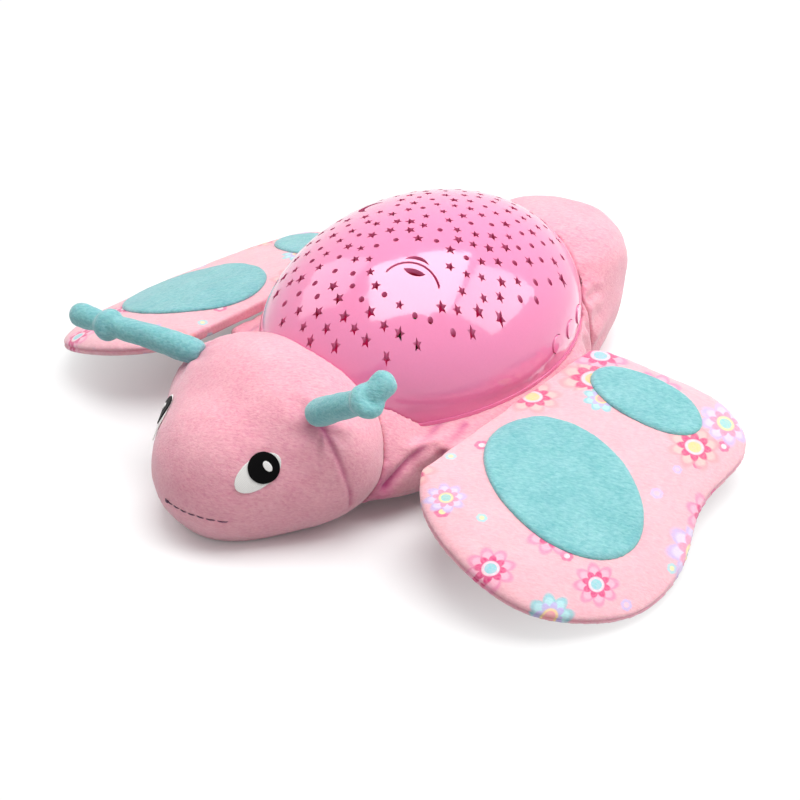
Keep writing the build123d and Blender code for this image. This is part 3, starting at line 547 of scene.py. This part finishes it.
def thread(name, colour, pitch, sheen=0.3):
    # rows of thread side by side: fine ridges with a soft shine; pitch is the thread spacing in mm
    material, tree, shader = startMaterial(name, {
        "Roughness": threadSpec["rough"], "Sheen Weight": sheen, "Specular IOR Level": sheen})
    ridges = addNode(tree, "ShaderNodeTexWave", {"wave_type": "BANDS", "bands_direction": "DIAGONAL"}, {
        "Vector": addNode(tree, "ShaderNodeTexCoord").outputs["Object"],
        "Scale": threadSpec["wavelength"] / (pitch * mm), **threadSpec["waves"]})
    followPattern(tree, shader, ridges.outputs["Fac"], colour, threadSpec["shades"],
                  threadSpec["relief"], threadSpec["depth"])
    return material


# satin-stitched rayon: silky in white, and nearly without shine in dense black
whiteThread = thread("whiteRayonThread", "f3f1ee", pitch=0.5)
blackThread = thread("blackRayonThread", "060506", pitch=0.5, sheen=0.04)
# spun cotton: duller and softer
plumThread = thread("plumCottonThread", "55304c", pitch=0.4)

finishes = {
    "star_dome": glossyPink,
    "light_button": glossyPink,
    "melody_button": glossyPink,
    "volume_button": glossyPink,
    "light_plunger": whiteAbs,
    "melody_plunger": whiteAbs,
    "volume_plunger": whiteAbs,
    "base_tub": satinPink,
    "battery_door": satinPink,
    "battery_door_screw": zincSteel,
    "aaa_cells": cellJacket,
    "front_contacts": nickelStrip,
    "rear_contacts": nickelStrip,
    "main_board": boardGreen,
    "board_components": blackResin,
    "board_screws": zincSteel,
    "speaker": blackSteel,
    "speaker_cone": speakerPaper,
    "speaker_screws": zincSteel,
    "light_deck": deepPink,
    "deck_screws": zincSteel,
    "lamp_board": boardGreen,
    "lamp_screws": zincSteel,
    "red_lamp": redLens,
    "green_lamp": greenLens,
    "blue_lamp": blueLens,
    "button_board": boardGreen,
    "tact_switches": blackResin,
    "housing_screws": zincSteel,
    "hem_elastic": elasticWeb,
}
for node, material in finishes.items():
    dress(nodes[node], material)
print("materials ready")


# head

headSpec = {
    "voxel": 1.0,
    "relax": 6,
    "lumps": ((16.0, 0.6, 1), (5.0, 0.18, 2)),
    "cheekSeam": {
        # given on the left side
        "path": ((36.0, -98.2, 53.0), (41.8, -98.6, 47.8), (45.9, -99.0, 42.0),
                 (49.5, -98.4, 34.4), (50.7, -96.5, 25.1), (49.5, -95.0, 17.0)),
        "width": 1.0,
        "depth": 1.1,
        # shade: how dark the painted shade along the seam is
        "shade": 0.55,
    },
    "feelerFeet": ((38.6, -98.8, 55.0), (-38.6, -98.8, 55.0)),
    "pucker": {
        # the cloth puckers where each feeler is sewn in: small rays round a dip, with painted shade in
        # and round the dip
        "rays": 7, "turn": 0.6, "height": 0.5, "reach": 10.0, "spread": 5.0,
        "dip": 1.2, "dipWidth": 8.0, "shade": 0.45, "shadeWidth": 7.5,
    },
}


def makeHead():
    head = softCopy("head_plush", "headPlush", headSpec["voxel"], headSpec["relax"])
    co, normals = corners(head)
    push = lumps(co, headSpec["lumps"])
    cheek = headSpec["cheekSeam"]
    seam = bump(pathDistance(bothSides(co), cheek["path"]), cheek["width"])
    push -= seam * cheek["depth"]
    # painted shade along the cheek seam and round each feeler's foot
    paintedShade = seam * cheek["shade"]
    pucker = headSpec["pucker"]
    for foot in headSpec["feelerFeet"]:
        away = co - np.array(foot)
        spread = np.linalg.norm(away, axis=1)
        rays = np.sin(np.arctan2(away[:, 1], away[:, 0]) * pucker["rays"] + pucker["turn"])
        raised = rays * pucker["height"] * bump(spread - pucker["reach"], pucker["spread"])
        push += raised - pucker["dip"] * bump(spread, pucker["dipWidth"])
        paintedShade += pucker["shade"] * bump(spread, pucker["shadeWidth"])
    setCorners(head, co + normals * (push * offFloor(co))[:, None])
    markPaintedShade(head, paintedShade)
    dress(head, pinkPlush)
    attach(head, "lamp_body")
    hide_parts("head_plush")
    return head


head = makeHead()


def tube(path, radii, sides):
    # a closed round tube through the points of path, with a radius at each
    verts = []
    faces = []
    for k, point in enumerate(path):
        before = path[max(k - 1, 0)]
        after = path[min(k + 1, len(path) - 1)]
        turn = (after - before).to_track_quat("Z", "Y").to_matrix()
        for s in range(sides):
            t = 2 * math.pi * s / sides
            verts.append(point + turn @ Vector((math.cos(t), math.sin(t), 0)) * radii[k])
    for k in range(len(path) - 1):
        for s in range(sides):
            a = k * sides + s
            b = k * sides + (s + 1) % sides
            faces.append((a, b, b + sides, a + sides))
    last = (len(path) - 1) * sides
    faces.append(tuple(reversed(range(sides))))
    faces.append(tuple(range(last, last + sides)))
    return verts, faces


def addTube(verts, faces, path, radii, sides):
    # one more tube among the verts and faces of a piece
    points, loops = tube(path, radii, sides)
    faces.extend(tuple(i + len(verts) for i in loop) for loop in loops)
    verts.extend(points)


mouthSpec = {
    "thread": 0.26,
    "sides": 8,
    # x and height from the knot at its start to the cheek
    "points": ((-3.4, 19.8), (5.0, 19.4), (12.7, 19.2), (18.2, 18.6), (21.5, 18.0)),
    "stitch": 3.4,
    "gap": 0.35,
    "last": 1.0,            # no stitch starts nearer to the end than this
    # along one stitch: its share of the length, thickness and height over the plush
    "shares": (0.0, 0.2, 0.5, 0.8, 1.0),
    "taper": (0.4, 0.9, 1.0, 0.9, 0.4),
    "lift": (-0.15, 0.15, 0.25, 0.15, -0.15),
    # the knot: a few short stitches on top of each other
    "knotRows": (-0.45, 0.0, 0.45),
    "knotStart": -1.2,
    "knotLength": 2.4,
    "knotLift": (-0.1, 0.3, 0.45, 0.3, -0.1),
    "probe": -200,          # the plush is felt for from this far in front
}


def makeMouth():
    tree = BVHTree.FromObject(head, bpy.context.evaluated_depsgraph_get())
    xs = [x for x, _ in mouthSpec["points"]]
    zs = [z for _, z in mouthSpec["points"]]
    radii = [share * mouthSpec["thread"] * mm for share in mouthSpec["taper"]]
    verts = []
    faces = []

    def stitch(run, lift):
        path = []
        for (x, z), out in zip(run, lift):
            start = Vector((x, mouthSpec["probe"], z)) * mm
            hit, normal, _, _ = tree.ray_cast(start, Vector((0, 1, 0)))
            path.append(hit + normal * out * mm)
        addTube(verts, faces, path, radii, mouthSpec["sides"])

    x = xs[0]
    while x < xs[-1] - mouthSpec["last"]:
        run = [x + mouthSpec["stitch"] * t for t in mouthSpec["shares"]]
        stitch([(u, float(np.interp(u, xs, zs))) for u in run], mouthSpec["lift"])
        x += mouthSpec["stitch"] + mouthSpec["gap"]
    for dz in mouthSpec["knotRows"]:
        run = [xs[0] + mouthSpec["knotStart"] + mouthSpec["knotLength"] * t for t in mouthSpec["shares"]]
        stitch([(u, zs[0] + dz) for u in run], mouthSpec["knotLift"])
    mouth = addPiece("mouthStitches", verts, faces)
    dress(mouth, plumThread)
    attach(mouth, "lamp_body")


makeMouth()

eyeSpec = {
    "voxel": 0.22,
    "relax": 4,
    "parts": (
        # node, piece, thread and slot
        ("eye_white", "EyeWhite", whiteThread, "white_stitching"),
        ("eye_pupil", "EyePupil", blackThread, "black_stitching"),
        ("eye_glint", "EyeGlint", whiteThread, "white_stitching"),
    ),
}
for side in ("left", "right"):
    for node, piece, material, slot in eyeSpec["parts"]:
        stitched = softCopy(f"{side}_{node}", side + piece, eyeSpec["voxel"], eyeSpec["relax"])
        dress(stitched, material)
        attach(stitched, "lamp_body")
        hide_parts(f"{side}_{node}")
print("head ready")


# body

bodySpec = {
    "voxel": 1.2,
    "relax": 4,
    "lumps": ((14.0, 0.5, 6),),
    "opening": (60.5, 79.5),    # half its width and length
    "outside": (1.0, 1.04),     # shares of the opening between which the gathers start
    "gather": {
        # gathers round the opening, deepest at this height and shallow at the front
        "oval": (61, 80), "folds": 46, "depth": 1.1, "height": 24.0, "spread": 11.0,
        "front": (25.0, 42.0), "frontLoss": 0.85, "wander": (22.0, 5.0, 5),
    },
    # the level face that the dome's flange covers stays level, so gathers fade out below it
    "flatTop": {"height": 30.9, "reach": 1.5, "level": (0.99, 0.6), "share": 0.3},
    # painted shade round the neck, where the body meets the head
    "neck": {"y": -79.0, "width": 5.0, "shade": 0.5},
    "creases": (
        # folds from the dome down to the neck, with depth and width in mm
        (((50.7, -44.2, 31.3), (54.6, -60.5, 29.1), (52.9, -70.4, 23.6), (51.1, -77.2, 17.8)), 1.9, 1.4),
        (((58.2, -37.3, 31.4), (60.5, -50.0, 28.0), (60.0, -62.0, 20.0)), 1.3, 1.5),
    ),
    # beside each crease the cloth rises: height share, and distance and width in crease widths
    "bank": (0.35, 3.2, 1.8),
    # the creases get painted shade
    "creaseShade": (0.8, 1.1),  # its darkness, and its width in crease widths
    "creaseTop": (25.0, 31.0),  # creases end between these heights, under the dome's rim
    "hem": {
        # the hem laps up over the dome's lip
        "lap": 0.9, "from": (29.8, 31.2), "top": 36.0, "reach": 3.0, "within": (1.02, 1.09),
    },
    # cloth that lies against the head is pushed home, so no dark slit is left
    "meet": {"push": 1.0, "gap": (0.8, 2.5)},
}


def meet(co, other):
    tree = BVHTree.FromObject(other, bpy.context.evaluated_depsgraph_get())
    gap = np.array([tree.find_nearest(Vector(p) * mm)[3] / mm for p in co])
    return bodySpec["meet"]["push"] * (1 - smoothStep(gap, *bodySpec["meet"]["gap"]))


def makeBody():
    body = softCopy("body_plush", "bodyPlush", bodySpec["voxel"], bodySpec["relax"])
    co, normals = corners(body)
    gather = bodySpec["gather"]
    around = np.arctan2(co[:, 1] / gather["oval"][1], co[:, 0] / gather["oval"][0])
    waves = np.sin(around * gather["folds"] + lumps(co, (gather["wander"],)))
    reach = np.hypot(co[:, 0] / bodySpec["opening"][0], co[:, 1] / bodySpec["opening"][1])
    outside = smoothStep(reach, *bodySpec["outside"])
    front = smoothStep(-co[:, 1], *gather["front"])
    high = bump(co[:, 2] - gather["height"], gather["spread"]) * (1 - gather["frontLoss"] * front)
    push = waves * gather["depth"] * high * outside + lumps(co, bodySpec["lumps"])
    onTop = bodySpec["flatTop"]
    below = smoothStep(onTop["height"] - co[:, 2], 0.0, onTop["reach"])
    sloped = smoothStep(np.abs(normals[:, 2]), *onTop["level"])
    move = push * offFloor(co) * outside * np.maximum(below, sloped * onTop["share"])
    neck = bodySpec["neck"]
    # painted shade at the neck and along the creases
    paintedShade = neck["shade"] * bump(co[:, 1] - neck["y"], neck["width"])
    underRim = 1 - smoothStep(co[:, 2], *bodySpec["creaseTop"])
    bankHeight, bankPlace, bankWidth = bodySpec["bank"]
    shade, shadeWidth = bodySpec["creaseShade"]
    for path, depth, width in bodySpec["creases"]:
        near = pathDistance(bothSides(co), path)
        bank = bankHeight * bump(near - bankPlace * width, width * bankWidth)
        move += (bank - bump(near, width)) * depth * offFloor(co) * underRim
        paintedShade += shade * bump(near, width * shadeWidth)
    hem = bodySpec["hem"]
    lap = smoothStep(co[:, 2], *hem["from"]) * smoothStep(hem["top"] - co[:, 2], 0.0, hem["reach"])
    lap *= 1 - smoothStep(reach, *hem["within"])
    co[:, 2] += lap * hem["lap"]
    setCorners(body, co + normals * (move + meet(co, head))[:, None])
    markPaintedShade(body, paintedShade)
    dress(body, pinkPlush)
    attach(body, "lamp_body")
    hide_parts("body_plush")


makeBody()


# tail

tailSpec = {
    "voxel": 1.3,
    "relax": 5,
    "lumps": ((18.0, 0.8, 8), (7.0, 0.25, 9)),
    "creases": (
        # path on the left side, depth and width in mm
        (((36.3, 62.9, 42.4), (37.9, 59.7, 39.8), (41.1, 56.9, 34.2)), 3.2, 2.4),
        (((34.0, 66.0, 46.0), (37.0, 74.0, 39.0), (38.0, 80.0, 30.0)), 1.0, 2.4),
        (((38.0, 65.0, 38.0), (41.0, 71.0, 30.0), (41.0, 75.0, 22.0)), 1.2, 2.2),
        (((30.0, 64.0, 52.0), (34.0, 74.0, 49.0)), 0.9, 2.4),
    ),
    # painted shade in the creases, for each mm of their depth
    "creaseShade": 0.13,
    "ridges": (
        (((38.2, 64.0, 40.0), (43.8, 62.0, 29.0)), 1.6, 2.2),
    ),
    "sewn": (63.6, 66.0),       # up to here along y the seam holds the cloth
    # gathers along the seam, fading out to the rear
    "gather": {"middle": 20, "folds": 26, "height": 0.9, "end": 82.0, "fade": 18.0,
               "wander": (20.0, 4, 10)},
    # the upper corners are filled out and the flanks drawn in, alike on both sides
    "shaping": (
        # push in mm, then place and spread along y, away from the middle plane, and up
        (4.6, (98.0, 22.0), (33.0, 16.0), (54.0, 15.0)),
        (-2.2, (92.0, 24.0), (42.0, 14.0), (34.0, 13.0)),
    ),
}


def makeTail():
    tail = softCopy("tail_plush", "tailPlush", tailSpec["voxel"], tailSpec["relax"])
    co, normals = corners(tail)
    push = lumps(co, tailSpec["lumps"])
    paintedShade = 0
    for path, depth, width in tailSpec["creases"]:
        near = bump(pathDistance(bothSides(co), path), width)
        push -= near * depth
        paintedShade += near * tailSpec["creaseShade"] * depth
    for path, height, width in tailSpec["ridges"]:
        push += bump(pathDistance(bothSides(co), path), width) * height
    gather = tailSpec["gather"]
    around = np.arctan2(co[:, 2] - gather["middle"], co[:, 0])
    waves = np.sin(around * gather["folds"] + lumps(co, (gather["wander"],)))
    push += waves * gather["height"] * smoothStep(gather["end"] - co[:, 1], 0.0, gather["fade"])
    for height, (y, ySpread), (x, xSpread), (z, zSpread) in tailSpec["shaping"]:
        spot = bump(co[:, 1] - y, ySpread) * bump(np.abs(co[:, 0]) - x, xSpread)
        push += spot * bump(co[:, 2] - z, zSpread) * height
    free = smoothStep(co[:, 1], *tailSpec["sewn"])
    setCorners(tail, co + normals * (push * offFloor(co) * free)[:, None])
    markPaintedShade(tail, paintedShade)
    dress(tail, pinkPlush)
    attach(tail, "lamp_body")
    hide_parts("tail_plush")


makeTail()
print("body and tail ready")


# wings

wingSpec = {
    "voxel": 1.1,
    "relax": 6,
    "root": (66.0, 76.0),       # beside the body, between these distances, no seam closes the rim
    "rimWidth": 6.5,            # the stuffing thins out over this width
    "rimStep": 0.8,
    "rimShare": 0.16,           # share of the thickness left at the seam
    "wall": 0.5,                # a face whose normal rises less than this is part of the rim
    "level": 0.9,               # a point whose normal rises more than this is on top or below
    "crown": 1.2,
    "crownFrom": (1.0, 16.0),   # distances from the rim over which it rises
    # the seam's groove, with shade for how dark its painted shade is
    "seam": {"reach": 0.75, "fade": 0.4, "width": 0.7, "depth": 0.9, "shade": 0.3},
    "upper": (0.2, 0.9),        # how far a normal points up where the top's shape applies
    "swell": ((17.0, 0.5, 11),),
    "ripple": ((6.0, 0.18, 12),),
    "slack": {
        # the right wing hangs shorter, and lower at its rear lobe
        "right": {"rootX": 64.0, "length": 0.90, "rearY": 8.0, "rearPull": 0.10, "rearDrop": 0.09,
                  "dropFrom": 30, "lowest": 0.02},
    },
}

patchSpec = {
    "voxel": 0.5,
    "relax": 4,
    "rim": 2.6,                 # a patch thins out over this width
    "seat": -0.15,              # its edge lies this far into the pile
    "upper": (0.6, 0.9),
    "lumps": ((9.0, 0.25, 13), (3.0, 0.12, 14)),
    "rise": 0.25,
    "sizes": {
        # flat width and length in metres, and area in square metres
        "large": ((0.074, 0.059), 0.00343),
        "small": ((0.0496, 0.0304), 0.00118),
    },
}


def rimOf(node):
    # points along the walls of a flat node, as seen in plan
    mesh = nodes[node].data
    points = []
    for side in mesh.polygons:
        if abs(side.normal.z) < wingSpec["wall"]:
            loop = [mesh.vertices[i].co / mm for i in side.vertices]
            for start, end in zip(loop, loop[1:] + loop[:1]):
                steps = max(1, round((end - start).length / wingSpec["rimStep"]))
                points.extend(start.lerp(end, k / steps) for k in range(steps))
    rim = KDTree(len(points))
    for k, point in enumerate(points):
        rim.insert((point.x, point.y, 0), k)
    rim.balance()
    return rim


def fromRim(rim, co):
    return np.array([rim.find((x, y, 0))[2] for x, y, _ in co])


def thinning(away, width):
    # 0 at the rim, rising like a quarter circle to 1
    return np.sqrt(1 - (1 - np.clip(away / width, 0, 1)) ** 2)


def crownLift(away):
    return wingSpec["crown"] * smoothStep(away, *wingSpec["crownFrom"])


def hang(side, co):
    slack = wingSpec["slack"].get(side)
    if not slack:
        return co
    co = co.copy()
    reach = np.maximum(np.abs(co[:, 0]) - slack["rootX"], 0)
    co[:, 0] = np.sign(co[:, 0]) * (np.abs(co[:, 0]) - reach * (1 - slack["length"]))
    rear = np.maximum(co[:, 1] - slack["rearY"], 0)
    co[:, 1] -= rear * slack["rearPull"]
    drop = rear * slack["rearDrop"] * smoothStep(reach, 0, slack["dropFrom"])
    co[:, 2] = np.maximum(co[:, 2] - drop, slack["lowest"])
    return co


def makeWing(side):
    # heights of the node's top and underside along x
    co, normals = corners(nodes[f"{side}_wing"])
    top = normals[:, 2] > wingSpec["level"]
    low = normals[:, 2] < -wingSpec["level"]
    topLine = np.polyfit(co[top, 0], co[top, 2], 2)
    lowLine = np.polyfit(co[low, 0], co[low, 2], 3)
    rim = rimOf(f"{side}_wing")

    wing = softCopy(f"{side}_wing", f"{side}WingPlush", wingSpec["voxel"], wingSpec["relax"])
    co, normals = corners(wing)
    away = fromRim(rim, co)
    middle = (np.polyval(topLine, co[:, 0]) + np.maximum(np.polyval(lowLine, co[:, 0]), 0.0)) / 2
    free = smoothStep(np.abs(co[:, 0]), *wingSpec["root"])
    thick = wingSpec["rimShare"] + (1 - wingSpec["rimShare"]) * thinning(away, wingSpec["rimWidth"])
    co[:, 2] = middle + (co[:, 2] - middle) * (1 - (1 - thick) * free)
    seam = wingSpec["seam"]
    wall = smoothStep(seam["reach"] - np.abs(normals[:, 2]), 0.0, seam["fade"]) * free
    groove = wall * bump(co[:, 2] - middle, seam["width"])
    co[:, :2] -= normals[:, :2] * (groove * seam["depth"])[:, None]
    upper = smoothStep(normals[:, 2], *wingSpec["upper"])
    co[:, 2] += upper * (crownLift(away) + lumps(co, wingSpec["swell"]) + lumps(co, wingSpec["ripple"]))
    setCorners(wing, hang(side, co))
    # painted shade in the seam's groove
    markPaintedShade(wing, groove * seam["shade"])
    dress(wing, printedPlush)
    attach(wing, f"{side}_wing_body")
    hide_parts(f"{side}_wing")

    for size, (flat, area) in patchSpec["sizes"].items():
        node = f"{side}_{size}_patch"
        patch = softCopy(node, f"{side}{size.title()}Patch", patchSpec["voxel"], patchSpec["relax"])
        co, normals = corners(patch)
        base = np.polyval(topLine, co[:, 0]) + patchSpec["seat"]
        co[:, 2] = base + (co[:, 2] - base) * thinning(fromRim(rimOf(node), co), patchSpec["rim"])
        co[:, 2] += crownLift(fromRim(rim, co)) + lumps(co, wingSpec["swell"])
        upper = smoothStep(normals[:, 2], *patchSpec["upper"])
        co[:, 2] += upper * (lumps(co, patchSpec["lumps"]) + patchSpec["rise"])
        setCorners(patch, hang(side, co))
        dress(patch, tealPlush)
        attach(patch, f"{side}_wing_body")
        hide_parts(node)


for side in ("left", "right"):
    makeWing(side)
print("wings ready")


# feelers

feelerSpec = {
    "left": {
        "foot": (35.6, -99.9, 57.2), "knot": (60.5, -96.5, 73.0), "tip": (62.0, -87.5, 78.5),
        "thick": 5.4,
    },
    "right": {
        "foot": (-35.5, -98.2, 54.0), "knot": (-74.0, -112.0, 57.0), "tip": (-90.0, -114.5, 56.5),
        "thick": 5.3,
    },
    "voxel": 0.8,
    "relax": 3,
    "sides": 20,
    "sag": 0.6,
    # share of the way, and share of the thickness there
    "stem": ((-0.06, 0.72), (0.0, 0.98), (0.12, 1.08), (0.3, 1.05), (0.5, 1.0), (0.7, 0.97),
             (0.86, 0.92), (1.0, 0.8)),
    "end": ((0.0, 0.7), (0.3, 0.85), (0.6, 0.95), (0.85, 1.0), (1.0, 0.98), (1.12, 0.86),
            (1.24, 0.55), (1.30, 0.2)),
    # the loop that goes once round the tube at the knot, in shares of the thickness
    "loop": {"steps": 24, "radius": 0.62, "thick": 0.70, "climb": 0.18, "along": 0.8, "turn": 0.45},
    "straight": 0.3,            # below this bend at the knot, the loop leans upright instead
    "lumps": ((5.0, 0.3, 21), (1.8, 0.12, 22)),
}


def makeFeeler(side):
    spec = feelerSpec[side]
    foot, knot, tip = (Vector(spec[key]) * mm for key in ("foot", "knot", "tip"))
    thick = spec["thick"] * mm
    along = (knot - foot).normalized()
    turn = along.cross((tip - knot).normalized())
    if turn.length < feelerSpec["straight"]:
        turn = along.cross(Vector((0, 0, 1)))
    turn.normalize()
    verts = []
    faces = []
    sag = Vector((0, 0, feelerSpec["sag"] * mm))
    stem = [foot.lerp(knot, t) + sag * math.sin(t * math.pi) for t, _ in feelerSpec["stem"]]
    addTube(verts, faces, stem, [thick * r for _, r in feelerSpec["stem"]], feelerSpec["sides"])
    loop = feelerSpec["loop"]
    axis = (along * loop["along"] + turn * loop["turn"]).normalized()
    spin = axis.to_track_quat("Z", "Y").to_matrix()
    ring = []
    for k in range(loop["steps"] + 1):
        t = 2 * math.pi * k / loop["steps"]
        spoke = Vector((math.cos(t), math.sin(t), loop["climb"] * math.sin(t)))
        ring.append(knot + spin @ spoke * thick * loop["radius"])
    addTube(verts, faces, ring, [thick * loop["thick"]] * len(ring), feelerSpec["sides"])
    end = [knot.lerp(tip, t) for t, _ in feelerSpec["end"]]
    addTube(verts, faces, end, [thick * r for _, r in feelerSpec["end"]], feelerSpec["sides"])
    feeler = addPiece(f"{side}Feeler", verts, faces)
    clothMesh(feeler, feelerSpec["voxel"], feelerSpec["relax"])
    co, normals = corners(feeler)
    setCorners(feeler, co + normals * lumps(co, feelerSpec["lumps"])[:, None])
    dress(feeler, tealPlush)
    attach(feeler, f"{side}_feeler_body")
    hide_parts(f"{side}_feeler")


for side in ("left", "right"):
    makeFeeler(side)
print("feelers ready")
